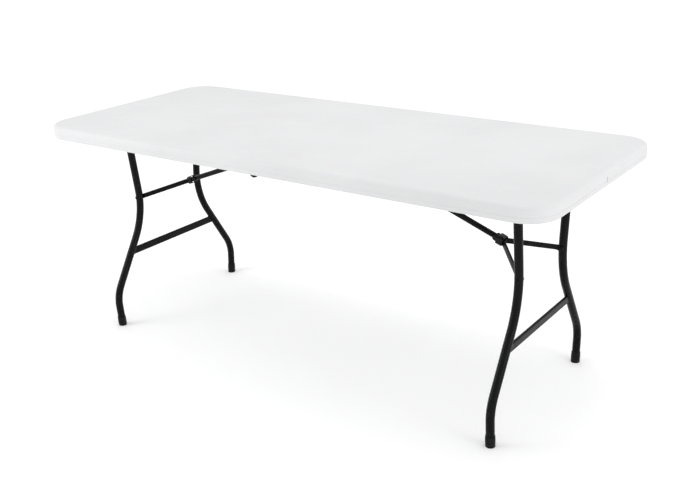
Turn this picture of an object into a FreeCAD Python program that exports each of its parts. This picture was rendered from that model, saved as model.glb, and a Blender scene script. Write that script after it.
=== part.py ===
import FreeCAD, Part
import math
import os
import Sketcher
from FreeCAD import Placement, Rotation, Vector

# Folding table, 6 ft by 30 in: a blow-moulded plastic top on two folding wishbone leg frames.
# Millimetres. Origin on the floor under the middle of the table, +X along the length, +Z up.
# Everything at an end is laid out once for the right end (+X) and turned half a turn about Z for
# the left end, so that the two ends are the same set of pieces.

SIZES = {
    # tabletop
    "top_length": 1829,
    "top_width": 762,
    "table_height": 737,
    "top_thickness": 44,
    "corner_radius": 92,
    "top_edge_radius": 12,
    "low_edge_radius": 4,
    "rim_width": 20,
    "recess_depth": 22,
    "skin": 2.5,
    "channel_length": 1390,
    "channel_width": 60,
    "channel_roof": 7,
    "pocket_start": 470,
    "pocket_length": 215,
    "pocket_width": 196,
    "pocket_roof": 13,
    "dimple_wide_radius": 11,
    "dimple_narrow_radius": 7,
    "dimple_post_radius": 14,
    "dimple_pitch": 120,
    "dimple_first_row": 130,
    "dimple_row_pitch": 75,
    "dimple_rows": 3,
    "dimple_columns": 12,
    # steel tube shared by the legs, the axles and the centre tube
    "tube_diameter": 25.4,
    "tube_wall": 1.2,
    "plug_head": 3,
    "plug_stem": 14,
    # leg frame
    "axle_x": 741,
    "axle_height": 696,
    "axle_half_length": 322,
    "leg_foot_y": 292,
    "leg_foot_height": 4,
    "leg_low_bend_y": 298.5,
    "leg_low_bend_height": 115,
    "leg_low_bend_radius": 130,
    "leg_high_bend_y": 137.7,
    "leg_high_bend_height": 377,
    "leg_high_bend_radius": 270,
    "leg_top_y": 169.2,
    "leg_top_height": 692,
    "bar_height": 255,
    "bar_tall": 26,
    "bar_thick": 10,
    "bar_wall": 1.2,
    "bar_half_length": 213,
    "cap_radius": 14.6,
    "cap_length": 30,
    "cap_edge": 3,
    # brace
    "link_pin_x": 30,
    "link_pin_height": 707,
    "leg_pin_height": 441,
    "leg_inner_face_y": 132.72,
    "yoke_length": 152.4,
    "link_diameter": 17.5,
    "link_wall": 1.2,
    "link_over_top": 10,
    "link_over_hinge": 28,
    "arm_tall": 16,
    "arm_thick": 4,
    "arm_gap": 18.5,
    "arm_straight": 30,
    "arm_end_flat": 11,
    "pin_diameter": 8,
    "pin_play": 0.08,
    "open_pivot_gap": 0.3,
    "rivet_diameter": 7,
    "rivet_head_radius": 7,
    "rivet_head": 2.5,
    "ring_start": 7,
    "ring_length": 20,
    "ring_width": 38,
    "ring_tall": 27,
    "ring_inner_width": 32.4,
    "ring_inner_tall": 22.4,
    "ring_corner": 9,
    "ring_inner_corner": 4,
    # fixings under the top
    "centre_tube_height": 694,
    "centre_tube_half_length": 355,
    "axle_saddle_y": 290,
    "centre_saddle_y": 332,
    "saddle_width": 28,
    "saddle_length": 78,
    "saddle_thick": 2,
    "saddle_play": 0.3,
    "pad_length": 84,
    "pad_width": 36,
    "screw_spacing": 56,
    "screw_diameter": 4.8,
    "screw_length": 19,
    "screw_head_radius": 4.5,
    "screw_head": 2.6,
    "bracket_gap": 19,
    "bracket_thick": 2,
    "bracket_half_length": 43,
    "bracket_top": 723.5,
    "bracket_low": 697,
}

RIGHT = 1
LEFT = -1
ENDS = {"right": RIGHT, "left": LEFT}
DEPTHS = {"front": -1, "back": 1}

doc = FreeCAD.newDocument("folding_table")
sheet = doc.addObject("Spreadsheet::Sheet", "sizes")
for row, (alias, value) in enumerate(SIZES.items(), start=1):
    sheet.set("A%d" % row, alias.replace("_", " "))
    sheet.set("B%d" % row, str(value))
    sheet.setAlias("B%d" % row, alias)
doc.recompute()

subparts = []


def size(alias):
    return float(sheet.get(alias))


# ---- helpers: primitives, booleans and sketches bound to the sheet ----

def bind(item, **expressions):
    """Tie an object's properties to expressions over the sheet."""
    for prop, expression in expressions.items():
        item.setExpression(prop, expression)
    return item


def box(name, length, width, height, x, y, z):
    """A box centred on (x, y) that stands on the level z."""
    item = doc.addObject("Part::Box", name)
    bind(item, Length=length, Width=width, Height=height)
    item.setExpression("Placement.Base.x", "%r - (%s) / 2" % (float(x), length))
    item.setExpression("Placement.Base.y", "%r - (%s) / 2" % (float(y), width))
    item.Placement.Base.z = z
    return item


def cylinder(name, radius, height, base=Vector(0, 0, 0), axis=Vector(0, 0, 1)):
    item = doc.addObject("Part::Cylinder", name)
    bind(item, Radius=radius, Height=height)
    item.Placement = Placement(base, Rotation(Vector(0, 0, 1), axis))
    return item


def cone(name, low_radius, high_radius, height, base, axis=Vector(0, 0, 1)):
    item = doc.addObject("Part::Cone", name)
    bind(item, Radius1=low_radius, Radius2=high_radius, Height=height)
    item.Placement = Placement(base, Rotation(Vector(0, 0, 1), axis))
    return item


def fuse(name, shapes):
    item = doc.addObject("Part::MultiFuse", name)
    item.Shapes = shapes
    return item


def cut(name, base, tools):
    item = doc.addObject("Part::Cut", name)
    item.Base = base
    item.Tool = tools[0] if len(tools) == 1 else fuse(name + "_tools", tools)
    return item


def common(name, base, tool):
    item = doc.addObject("Part::Common", name)
    item.Base = base
    item.Tool = tool
    return item


def tube(name, radius, wall, length, base=Vector(0, 0, 0), axis=Vector(0, 0, 1)):
    outside = cylinder(name + "_outside", radius, length, base, axis)
    inside = cylinder(name + "_inside", "%s - %s" % (radius, wall), length, base, axis)
    return cut(name, outside, [inside])


def finish(item, label, placement=None):
    """Give a sub-part its own label and place, and list it for writing out."""
    item.Label = label
    if placement is not None:
        item.Placement = placement
    subparts.append(item)
    return item


def new_body(name):
    return doc.addObject("PartDesign::Body", name)


def new_sketch(body, role, name, offset=None):
    plane = next(item for item in body.Origin.OriginFeatures if item.Role == role)
    sketch = body.newObject("Sketcher::SketchObject", name)
    sketch.AttachmentSupport = [(plane, "")]
    sketch.MapMode = "FlatFace"
    if offset is not None:
        sketch.AttachmentOffset = offset
    return sketch


def constrain(sketch, expression, *terms):
    """Add one dimension whose value is worked out from the sheet."""
    index = sketch.addConstraint(Sketcher.Constraint(*terms))
    if expression is not None:
        sketch.setExpression("Constraints[%d]" % index, expression)
    return index


def draw_rounded_box(sketch, width, height, radius, sizes):
    """A rounded rectangle about the sketch origin; sizes are its three numbers, to start from."""
    half_w = sizes[0] / 2
    half_h = sizes[1] / 2
    bend = sizes[2]
    corners = [(1, 1, 0), (-1, 1, 90), (-1, -1, 180), (1, -1, 270)]
    arcs = []
    for sign_x, sign_y, start in corners:
        centre = Vector(sign_x * (half_w - bend), sign_y * (half_h - bend), 0)
        circle = Part.Circle(centre, Vector(0, 0, 1), bend)
        arc = Part.ArcOfCircle(circle, math.radians(start), math.radians(start + 90))
        arcs.append(sketch.addGeometry(arc, False))
    lines = []
    for number in range(4):
        first = sketch.getPoint(arcs[number], 2)
        second = sketch.getPoint(arcs[(number + 1) % 4], 1)
        lines.append(sketch.addGeometry(Part.LineSegment(first, second), False))
    for number in range(4):
        sketch.addConstraint(Sketcher.Constraint("Tangent", arcs[number], 2, lines[number], 1))
        following = arcs[(number + 1) % 4]
        sketch.addConstraint(Sketcher.Constraint("Tangent", lines[number], 2, following, 1))
    for number in (1, 2, 3):
        sketch.addConstraint(Sketcher.Constraint("Equal", arcs[0], arcs[number]))
    top, left, bottom, right = lines
    for line in (top, bottom):
        sketch.addConstraint(Sketcher.Constraint("Horizontal", line))
    for line in (left, right):
        sketch.addConstraint(Sketcher.Constraint("Vertical", line))
    constrain(sketch, radius, "Radius", arcs[0], bend)
    constrain(sketch, "(%s) / 2" % width, "DistanceX", -1, 1, right, 1, half_w)
    constrain(sketch, "(%s) / 2" % width, "DistanceX", left, 1, -1, 1, half_w)
    constrain(sketch, "(%s) / 2" % height, "DistanceY", -1, 1, top, 1, half_h)
    constrain(sketch, "(%s) / 2" % height, "DistanceY", bottom, 1, -1, 1, half_h)


def pad_along(body, sketch, length, symmetric=False):
    pad = body.newObject("PartDesign::Pad", sketch.Name + "_pad")
    pad.Profile = sketch
    pad.setExpression("Length", length)
    if symmetric:
        pad.SideType = "Symmetric"
    return pad


def rounded_block(name, width, height, radius, sizes, thick, placement):
    """A body: a rounded rectangle in its own XY plane, raised along Z."""
    body = new_body(name)
    sketch = new_sketch(body, "XY_Plane", name + "_outline")
    draw_rounded_box(sketch, width, height, radius, sizes)
    pad_along(body, sketch, thick)
    body.Placement = placement
    return body


def bent_path(points, radii):
    """Straight runs joined by tangent arcs; points and arcs lie in a sketch plane."""
    pieces = []
    start = points[0]
    for before, corner, after, radius in zip(points, points[1:], points[2:], radii):
        back = (before - corner).normalize()
        ahead = (after - corner).normalize()
        half_angle = back.getAngle(ahead) / 2
        reach = radius / math.tan(half_angle)
        arc_start = corner + back * reach
        arc_end = corner + ahead * reach
        bisector = (back + ahead).normalize()
        middle = corner + bisector * (radius / math.sin(half_angle) - radius)
        pieces.append(Part.LineSegment(start, arc_start))
        pieces.append(Part.Arc(arc_start, middle, arc_end))
        start = arc_end
    pieces.append(Part.LineSegment(start, points[-1]))
    return pieces


# ---- places worked out from the sheet ----

TUBE_RADIUS = "sizes.tube_diameter / 2"
RIVET_HEAD_TOP = "sizes.rivet_head_radius * 0.7"
SCREW_HEAD_TOP = "sizes.screw_head_radius * 0.75"
axle_x = size("axle_x")
axle_height = size("axle_height")
top_height = size("table_height")
rim_height = top_height - size("top_thickness")
deck_height = rim_height + size("recess_depth")
leg_pin = Vector(axle_x, 0, size("leg_pin_height"))
link_pin = Vector(size("link_pin_x"), 0, size("link_pin_height"))
brace_span = (leg_pin - link_pin).Length
link_length = brace_span - size("yoke_length")
brace_drop = math.degrees(math.asin((link_pin.z - leg_pin.z) / brace_span))
brace_turn = Rotation(Vector(0, 1, 0), brace_drop)
hinge = link_pin + brace_turn.multVec(Vector(link_length, 0, 0))
ALONG_Y = Vector(0, 1, 0)
UP = Vector(0, 0, 1)


def end_placement(end, local=Placement()):
    """Turn a piece laid out for the right end to the end asked for."""
    turn = Rotation(UP, 0 if end == RIGHT else 180)
    return Placement(Vector(0, 0, 0), turn) * local


def at(x, y, z, rotation=Rotation()):
    return Placement(Vector(x, y, z), rotation)


# ---- tabletop: one hollow blow-moulded shell ----

def dimple_places():
    columns = int(size("dimple_columns"))
    rows = int(size("dimple_rows"))
    pitch = size("dimple_pitch")
    for column in range(columns):
        x = (column - (columns - 1) / 2) * pitch
        for row in range(rows):
            y = size("dimple_first_row") + row * size("dimple_row_pitch")
            yield x, y
            yield x, -y


def saddle_places():
    """Where the six saddles sit: (x, y, height of the tube they hold)."""
    for x in (-axle_x, axle_x):
        for depth in (-1, 1):
            yield x, depth * size("axle_saddle_y"), axle_height
    for depth in (-1, 1):
        yield 0.0, depth * size("centre_saddle_y"), size("centre_tube_height")


def flat_edges(shape, level):
    """The names of the edges that lie flat at one level."""
    names = []
    for number, edge in enumerate(shape.Edges, start=1):
        bounds = edge.BoundBox
        if abs(bounds.ZMin - level) < 1e-4 and abs(bounds.ZMax - level) < 1e-4:
            names.append("Edge%d" % number)
    return names


def top_blank():
    body = new_body("top_blank")
    sketch = new_sketch(body, "XY_Plane", "top_outline")
    numbers = (size("top_length"), size("top_width"), size("corner_radius"))
    draw_rounded_box(sketch, "sizes.top_length", "sizes.top_width", "sizes.corner_radius", numbers)
    pad_along(body, sketch, "sizes.top_thickness")
    doc.recompute()
    rounds = (("top_round", size("top_thickness"), "sizes.top_edge_radius"),
              ("low_round", 0.0, "sizes.low_edge_radius"))
    for name, level, radius in rounds:
        base = body.Tip
        fillet = body.newObject("PartDesign::Fillet", name)
        fillet.Base = (base, flat_edges(base.Shape, level))
        fillet.setExpression("Radius", radius)
        doc.recompute()
    body.Placement = at(0, 0, rim_height)
    return body


def inset_block(name, inset, inset_value, thick, height):
    """The outline of the top drawn in all round, raised from a height."""
    numbers = (
        size("top_length") - 2 * inset_value,
        size("top_width") - 2 * inset_value,
        size("corner_radius") - inset_value,
    )
    return rounded_block(
        name,
        "sizes.top_length - 2 * (%s)" % inset,
        "sizes.top_width - 2 * (%s)" % inset,
        "sizes.corner_radius - (%s)" % inset,
        numbers,
        thick,
        at(0, 0, height),
    )


def hollow_inside():
    """The air inside the shell: everything but the skins, posts, bosses and walls."""
    skin = size("skin")
    pocket_x = size("pocket_start") + size("pocket_length") / 2
    air = inset_block("air", "sizes.skin", skin, "sizes.top_thickness - 2 * sizes.skin", rim_height + skin)
    solid = [
        inset_block("recess_wall", "sizes.rim_width - sizes.skin", size("rim_width") - skin,
                    "sizes.recess_depth + sizes.skin", rim_height),
        box("channel_wall", "sizes.channel_length + 2 * sizes.skin", "sizes.channel_width + 2 * sizes.skin",
            "sizes.top_thickness", 0, 0, rim_height),
    ]
    for end in (LEFT, RIGHT):
        solid.append(box("pocket_wall", "sizes.pocket_length + 2 * sizes.skin",
                         "sizes.pocket_width + 2 * sizes.skin",
                         "sizes.top_thickness - sizes.pocket_roof + sizes.skin",
                         end * pocket_x, 0, rim_height))
    for x, y in dimple_places():
        solid.append(cylinder("post", "sizes.dimple_post_radius", "sizes.top_thickness",
                              Vector(x, y, rim_height)))
    for x, y, level in saddle_places():
        solid.append(box("boss", "sizes.pad_length", "sizes.pad_width", "sizes.top_thickness",
                         x, y, rim_height))
    return cut("hollow", air, solid)


def tabletop():
    recess = inset_block("recess", "sizes.rim_width", size("rim_width"), "sizes.recess_depth", rim_height)
    pocket_x = size("pocket_start") + size("pocket_length") / 2
    openings = [
        recess,
        box("channel", "sizes.channel_length", "sizes.channel_width",
            "sizes.top_thickness - sizes.channel_roof", 0, 0, rim_height),
    ]
    for end in (LEFT, RIGHT):
        openings.append(box("pocket", "sizes.pocket_length", "sizes.pocket_width",
                            "sizes.top_thickness - sizes.pocket_roof", end * pocket_x, 0, rim_height))
    for x, y in dimple_places():
        openings.append(cone("dimple", "sizes.dimple_wide_radius", "sizes.dimple_narrow_radius",
                             "sizes.top_thickness - sizes.recess_depth - sizes.skin",
                             Vector(x, y, deck_height)))
    shell = cut("shell", top_blank(), openings)
    pads = [shell]
    bores = [hollow_inside()]
    for x, y, level in saddle_places():
        pads.append(box("pad", "sizes.pad_length", "sizes.pad_width", "%r" % (deck_height + 1 - level),
                        x, y, level))
        play = "" if x == 0 else " + sizes.saddle_play"
        groove_start = Vector(x, y - size("pad_width"), level)
        bores.append(cylinder("groove", TUBE_RADIUS + play, "2 * sizes.pad_width", groove_start, ALONG_Y))
        for side in (-1, 1):
            screw_x = x + side * size("screw_spacing") / 2
            bores.append(cylinder("pilot", "sizes.screw_diameter / 2", "sizes.screw_length",
                                  Vector(screw_x, y, level)))
    finish(cut("top", fuse("padded", pads), bores), "tabletop")


# ---- the leg frame: axle tube, two bent legs, a flattened lower bar, plugs, caps and rivets ----

def leg_points(depth):
    rows = (
        (size("leg_foot_y"), size("leg_foot_height")),
        (size("leg_low_bend_y"), size("leg_low_bend_height")),
        (size("leg_high_bend_y"), size("leg_high_bend_height")),
        (size("leg_top_y"), size("leg_top_height")),
    )
    return [Vector(depth * y, z, 0) for y, z in rows]


def leg_sweep(name, depth, radius, centre_line):
    """A round bar along the leg's centre line, in the leg frame's own plane x = 0."""
    points = leg_points(depth)
    start = Vector(0, points[0].x, points[0].y)
    heading = Vector(0, points[1].x - points[0].x, points[1].y - points[0].y)
    section = doc.addObject("Part::Circle", name + "_section")
    section.setExpression("Radius", radius)
    section.Placement = Placement(start, Rotation(UP, heading))
    sweep = doc.addObject("Part::Sweep", name)
    sweep.Sections = [section]
    sweep.Spine = (centre_line, ["Edge%d" % (number + 1) for number in range(5)])
    sweep.Solid = True
    sweep.Frenet = False
    return sweep


def leg_centre_line(name, depth):
    """The bent line that both the leg and its bore follow."""
    body = new_body(name + "_plan")
    sketch = new_sketch(body, "YZ_Plane", name + "_line")
    radii = (size("leg_low_bend_radius"), size("leg_high_bend_radius"))
    for piece in bent_path(leg_points(depth), radii):
        sketch.addGeometry(piece, False)
    return sketch


def leg(end, end_name, depth, depth_name):
    name = "%s_%s" % (end_name, depth_name)
    line = leg_centre_line(name, depth)
    outside = leg_sweep(name + "_leg_outside", depth, TUBE_RADIUS, line)
    bore = leg_sweep(name + "_leg_bore", depth, TUBE_RADIUS + " - sizes.tube_wall", line)
    axle = cylinder(name + "_cope", TUBE_RADIUS, "2 * sizes.axle_half_length",
                    Vector(0, -size("axle_half_length"), axle_height), ALONG_Y)
    rivet_hole = cylinder(name + "_rivet_hole", "sizes.rivet_diameter / 2", "sizes.leg_foot_y",
                          Vector(0, 0, leg_pin.z), ALONG_Y * depth)
    finish(cut(name + "_leg_cut", outside, [bore, axle, rivet_hole]), name + "_leg",
           end_placement(end, at(axle_x, 0, 0)))
    return outside


OVAL_BEND = 0.49  # corner radius of the pressed oval, as a share of its thickness


def lower_bar(end, end_name, legs):
    """A tube pressed to a flat oval, coped to the slope of the two legs."""
    body = new_body(end_name + "_bar_blank")
    sketch = new_sketch(body, "XZ_Plane", end_name + "_bar_oval")
    for shrink in ("", " - 2 * sizes.bar_wall"):
        drop = 0 if shrink == "" else 2 * size("bar_wall")
        thick = size("bar_thick") - drop
        tall = size("bar_tall") - drop
        draw_rounded_box(sketch, "sizes.bar_thick" + shrink, "sizes.bar_tall" + shrink,
                         "(sizes.bar_thick%s) * %g" % (shrink, OVAL_BEND),
                         (thick, tall, thick * OVAL_BEND))
    pad_along(body, sketch, "2 * sizes.bar_half_length", symmetric=True)
    body.Placement = at(0, 0, size("bar_height"))
    finish(cut(end_name + "_bar_cut", body, legs), end_name + "_lower_bar",
           end_placement(end, at(axle_x, 0, 0)))


def foot_cap(end, end_name, depth, depth_name):
    """A moulded cap pushed over the foot, coaxial with it and flat where it meets the floor."""
    name = "%s_%s_foot" % (end_name, depth_name)
    points = leg_points(depth)
    heading = Vector(0, points[1].x - points[0].x, points[1].y - points[0].y)
    foot = Vector(0, points[0].x, points[0].y)
    lean = Placement(foot, Rotation(UP, heading))
    blank = cylinder(name + "_blank", "sizes.cap_radius", "sizes.cap_length", Vector(0, 0, 0))
    tail = Vector(0, 0, -2 * size("leg_foot_height"))
    below = cone(name + "_sole", "sizes.cap_radius - sizes.cap_edge", "sizes.cap_radius",
                 "2 * sizes.leg_foot_height", tail)
    bore = cylinder(name + "_bore", TUBE_RADIUS, "sizes.cap_length", Vector(0, 0, 0))
    body = cut(name + "_hollow", fuse(name + "_whole", [blank, below]), [bore])
    body.Placement = lean
    floor = box(name + "_floor", "4 * sizes.cap_radius", "4 * sizes.cap_radius", "sizes.cap_length",
                0, foot.y, -size("cap_length"))
    finish(cut(name + "_cut", body, [floor]), name, end_placement(end, at(axle_x, 0, 0)))


def tube_plug(label, tip, outward, placement=Placement()):
    """A round plastic plug: a head that closes the tube and a stem pushed inside it."""
    head = cylinder(label + "_head", TUBE_RADIUS, "sizes.plug_head", tip - outward * size("plug_head"),
                    outward)
    stem_end = tip - outward * (size("plug_head") + size("plug_stem"))
    stem = cylinder(label + "_stem", TUBE_RADIUS + " - sizes.tube_wall", "sizes.plug_stem",
                    stem_end, outward)
    finish(fuse(label + "_whole", [head, stem]), label, placement)


def cross_tube(label, half_length, height, placement=Placement(), end=RIGHT):
    """A straight tube across the table, short of its two plug heads."""
    half = size(half_length)
    start = Vector(0, size("plug_head") - half, height)
    length = "2 * (sizes.%s - sizes.plug_head)" % half_length
    finish(tube(label + "_tube", TUBE_RADIUS, "sizes.tube_wall", length, start, ALONG_Y), label, placement)
    for depth_name, depth in DEPTHS.items():
        outward = ALONG_Y * (depth * end)
        tube_plug("%s_plug_%s" % (label, depth_name), outward * half + UP * height, outward, placement)


def leg_rivets(end, end_name):
    """Outer half of each brace rivet: head outside the leg, shank through it to the inner face."""
    inner = size("leg_inner_face_y")
    outer = inner + size("tube_diameter")
    pieces = []
    for depth_name, depth in DEPTHS.items():
        name = "%s_%s_leg_rivet" % (end_name, depth_name)
        shank = cylinder(name + "_shank", "sizes.rivet_diameter / 2", "sizes.tube_diameter",
                         Vector(0, depth * inner, leg_pin.z), ALONG_Y * depth)
        head = cone(name + "_head", "sizes.rivet_head_radius", RIVET_HEAD_TOP,
                    "sizes.rivet_head", Vector(0, depth * outer, leg_pin.z), ALONG_Y * depth)
        pieces.append(fuse(name, [shank, head]))
    group = doc.addObject("Part::Compound", end_name + "_leg_rivet_pair")
    group.Links = pieces
    finish(group, end_name + "_leg_rivets", end_placement(end, at(axle_x, 0, 0)))


# ---- the brace: upper link, two yoke arms, their rivets and the lock ring ----
# Laid out with the hinge at the origin, x running down the brace to the leg and z square to it.

def brace_placement(end):
    return end_placement(end, Placement(hinge, brace_turn))


def cross_pin(name, radius, half_length, x, z=0.0):
    """A round bar across the table, centred on the table's middle plane."""
    item = cylinder(name, radius, "2 * (%s)" % half_length, Vector(x, 0, z), ALONG_Y)
    item.setExpression("Placement.Base.y", "-(%s)" % half_length)
    return item


def riveted_pin(label, half_grip, x, z, placement):
    """A pin with a low domed head at each end of its grip."""
    pieces = [cross_pin(label + "_shank", "sizes.pin_diameter / 2", half_grip, x, z)]
    for depth in (-1, 1):
        head = cone(label + "_head", "sizes.rivet_head_radius", RIVET_HEAD_TOP,
                    "sizes.rivet_head", Vector(x, 0, z), ALONG_Y * depth)
        head.setExpression("Placement.Base.y", "%d * (%s)" % (depth, half_grip))
        pieces.append(head)
    finish(fuse(label + "_whole", pieces), label, placement)


ARM_GRIP = "sizes.arm_gap / 2 + sizes.arm_thick"
BRACKET_GRIP = "sizes.bracket_gap / 2 + sizes.bracket_thick"


def upper_link(end, end_name):
    """The long brace tube, cross-drilled for the pin under the top and for the hinge rivet."""
    label = end_name + "_upper_link"
    start = Vector(-link_length - size("link_over_top"), 0, 0)
    length = "%r + sizes.link_over_top + sizes.link_over_hinge" % link_length
    blank = tube(label + "_tube", "sizes.link_diameter / 2", "sizes.link_wall", length, start,
                 Vector(1, 0, 0))
    holes = []
    for x, play in ((-link_length, " + sizes.pin_play"), (0.0, "")):
        holes.append(cross_pin(label + "_hole", "sizes.pin_diameter / 2" + play,
                               "sizes.link_diameter", x))
    finish(cut(label + "_cut", blank, holes), label, brace_placement(end))
    plug = cylinder(label + "_plug_head", "sizes.link_diameter / 2", "sizes.plug_head",
                    Vector(size("link_over_hinge"), 0, 0), Vector(1, 0, 0))
    stem = cylinder(label + "_plug_stem", "sizes.link_diameter / 2 - sizes.link_wall",
                    "sizes.plug_stem", Vector(size("link_over_hinge") - size("plug_stem"), 0, 0),
                    Vector(1, 0, 0))
    finish(fuse(label + "_plug_whole", [plug, stem]), label + "_plug", brace_placement(end))
    riveted_pin(end_name + "_hinge_rivet", ARM_GRIP, 0.0, 0.0, brace_placement(end))


def arm_outline(side):
    """Plan of one bent flat bar: both faces of its centre line, offset half the thickness."""
    near = side * (size("arm_gap") + size("arm_thick")) / 2
    far = side * (size("leg_inner_face_y") - size("open_pivot_gap") - size("arm_thick") / 2)
    reach = size("arm_tall") / 2
    length = size("yoke_length")
    line = [
        Vector(-reach, near, 0),
        Vector(size("arm_straight"), near, 0),
        Vector(length - size("arm_end_flat"), far, 0),
        Vector(length + reach, far, 0),
    ]
    half = size("arm_thick") / 2
    faces = []
    for sign in (1, -1):
        face = []
        for index, point in enumerate(line):
            before = (point - line[index - 1]).normalize() if index else None
            after = (line[index + 1] - point).normalize() if index < len(line) - 1 else None
            along = (before or after) + (after or before)
            along.normalize()
            square = Vector(-along.y, along.x, 0)
            run = before or after
            lean = square.dot(Vector(-run.y, run.x, 0))
            face.append(point + square * (sign * half / lean))
        faces.append(face)
    return faces[0] + faces[1][::-1]


def yoke_arm(end, end_name, depth, depth_name):
    """A flat bar on edge: beside the link at the hinge, then splayed out to the leg."""
    label = "%s_%s_yoke_arm" % (end_name, depth_name)
    side = depth * end
    body = new_body(label + "_plan")
    sketch = new_sketch(body, "XY_Plane", label + "_strip")
    corners = arm_outline(side)
    for first, second in zip(corners, corners[1:] + corners[:1]):
        sketch.addGeometry(Part.LineSegment(first, second), False)
    pad_along(body, sketch, "sizes.arm_tall", symmetric=True)
    half = "sizes.leg_inner_face_y"
    rounds = [cross_pin(label + "_end", "sizes.arm_tall / 2", half, x) for x in (0.0, size("yoke_length"))]
    middle = box(label + "_middle", "sizes.yoke_length", "2 * sizes.leg_inner_face_y", "sizes.arm_tall",
                 size("yoke_length") / 2, 0, -size("arm_tall") / 2)
    rounded = common(label + "_rounded", body, fuse(label + "_slot", rounds + [middle]))
    holes = [
        cross_pin(label + "_hinge_hole", "sizes.pin_diameter / 2 + sizes.pin_play", half, 0.0),
        cross_pin(label + "_leg_hole", "sizes.rivet_diameter / 2", half, size("yoke_length")),
    ]
    finish(cut(label + "_cut", rounded, holes), label, brace_placement(end))


def yoke_rivets(end, end_name):
    """Inner half of each brace rivet: head inside the arm, shank through the arm only."""
    outer = size("leg_inner_face_y") - size("open_pivot_gap")
    inner = outer - size("arm_thick")
    pieces = []
    for depth in (-1, 1):
        name = end_name + "_yoke_rivet"
        shank = cylinder(name + "_shank", "sizes.rivet_diameter / 2", "sizes.arm_thick",
                         Vector(size("yoke_length"), depth * inner, 0), ALONG_Y * depth)
        head = cone(name + "_head", "sizes.rivet_head_radius", RIVET_HEAD_TOP,
                    "sizes.rivet_head", Vector(size("yoke_length"), depth * inner, 0), ALONG_Y * -depth)
        pieces.append(fuse(name, [shank, head]))
    group = doc.addObject("Part::Compound", end_name + "_yoke_rivet_pair")
    group.Links = pieces
    finish(group, end_name + "_yoke_rivets", brace_placement(end))


def lock_ring(end, end_name):
    """A pressed oval ring that slides down over the hinge and keeps link and yoke in line."""
    body = new_body(end_name + "_lock_ring_body")
    sketch = new_sketch(body, "YZ_Plane", end_name + "_ring_section")
    outer = (size("ring_width"), size("ring_tall"), size("ring_corner"))
    inner = (size("ring_inner_width"), size("ring_inner_tall"), size("ring_inner_corner"))
    draw_rounded_box(sketch, "sizes.ring_width", "sizes.ring_tall", "sizes.ring_corner", outer)
    draw_rounded_box(sketch, "sizes.ring_inner_width", "sizes.ring_inner_tall",
                     "sizes.ring_inner_corner", inner)
    pad_along(body, sketch, "sizes.ring_length")
    slide = Placement(brace_turn.multVec(Vector(size("ring_start"), 0, 0)), Rotation())
    finish(body, end_name + "_lock_ring", end_placement(end, slide * Placement(hinge, brace_turn)))


# ---- fixings under the top: saddles, screws, and the bracket for the two links ----

def saddle(label, x, y, level, tube_play):
    """A strap bent round a tube, screwed up through its two feet."""
    inside = TUBE_RADIUS + tube_play
    start = Vector(0, -size("saddle_width") / 2, 0)
    outer = cylinder(label + "_outer", inside + " + sizes.saddle_thick", "sizes.saddle_width",
                     start, ALONG_Y)
    feet = box(label + "_feet", "sizes.saddle_length", "sizes.saddle_width", "sizes.saddle_thick",
               0, 0, -size("saddle_thick"))
    above = box(label + "_above", "sizes.saddle_length", "2 * sizes.saddle_width", "sizes.tube_diameter",
                0, 0, 0)
    bore = cylinder(label + "_bore", inside, "2 * sizes.saddle_width", start * 2, ALONG_Y)
    tools = [above, bore]
    for side in (-1, 1):
        tools.append(cylinder(label + "_hole", "sizes.screw_diameter / 2", "4 * sizes.saddle_thick",
                              Vector(side * size("screw_spacing") / 2, 0, -2 * size("saddle_thick"))))
    finish(cut(label + "_cut", fuse(label + "_whole", [outer, feet]), tools), label, at(x, y, level))


def saddle_screws(label, places):
    """Pan-head screws, two to a saddle, as one group of separate solids."""
    screws = []
    for x, y, level in places:
        for side in (-1, 1):
            base = Vector(x + side * size("screw_spacing") / 2, y, level - size("saddle_thick"))
            shank = cylinder(label + "_shank", "sizes.screw_diameter / 2",
                             "sizes.screw_length + sizes.saddle_thick", base)
            head = cone(label + "_head", "sizes.screw_head_radius", SCREW_HEAD_TOP,
                        "sizes.screw_head", base, Vector(0, 0, -1))
            screws.append(fuse(label + "_screw", [shank, head]))
    group = doc.addObject("Part::Compound", label + "_group")
    group.Links = screws
    finish(group, label)


def brace_bracket():
    """A channel of folded plate welded over the centre tube; the two links pivot in its ends."""
    tall = "sizes.bracket_top - sizes.bracket_low"
    blank = box("bracket_blank", "2 * sizes.bracket_half_length", "2 * (%s)" % BRACKET_GRIP, tall,
                0, 0, size("bracket_low"))
    inside = box("bracket_inside", "3 * sizes.bracket_half_length", "sizes.bracket_gap",
                 tall + " - sizes.bracket_thick", 0, 0, size("bracket_low"))
    notch = cross_pin("bracket_notch", TUBE_RADIUS, BRACKET_GRIP, 0.0, size("centre_tube_height"))
    tools = [inside, notch]
    for side in (-1, 1):
        tools.append(cross_pin("bracket_hole", "sizes.pin_diameter / 2", BRACKET_GRIP,
                               side * link_pin.x, link_pin.z))
    finish(cut("bracket_cut", blank, tools), "brace_bracket", at(0, 0, 0))


def build_end(end_name, end):
    placement = end_placement(end, at(axle_x, 0, 0))
    cross_tube(end_name + "_axle", "axle_half_length", axle_height, placement, end)
    envelopes = []
    for depth_name, depth in DEPTHS.items():
        envelopes.append(leg(end, end_name, depth * end, depth_name))
        foot_cap(end, end_name, depth * end, depth_name)
        yoke_arm(end, end_name, depth, depth_name)
        saddle("%s_saddle_%s" % (end_name, depth_name), end * axle_x, depth * size("axle_saddle_y"),
               axle_height, " + sizes.saddle_play")
    lower_bar(end, end_name, envelopes)
    leg_rivets(end, end_name)
    upper_link(end, end_name)
    yoke_rivets(end, end_name)
    lock_ring(end, end_name)
    saddle_screws(end_name + "_saddle_screws",
                  [place for place in saddle_places() if place[0] * end > 0])
    riveted_pin(end_name + "_link_pin", BRACKET_GRIP, end * link_pin.x, link_pin.z, at(0, 0, 0))


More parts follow.
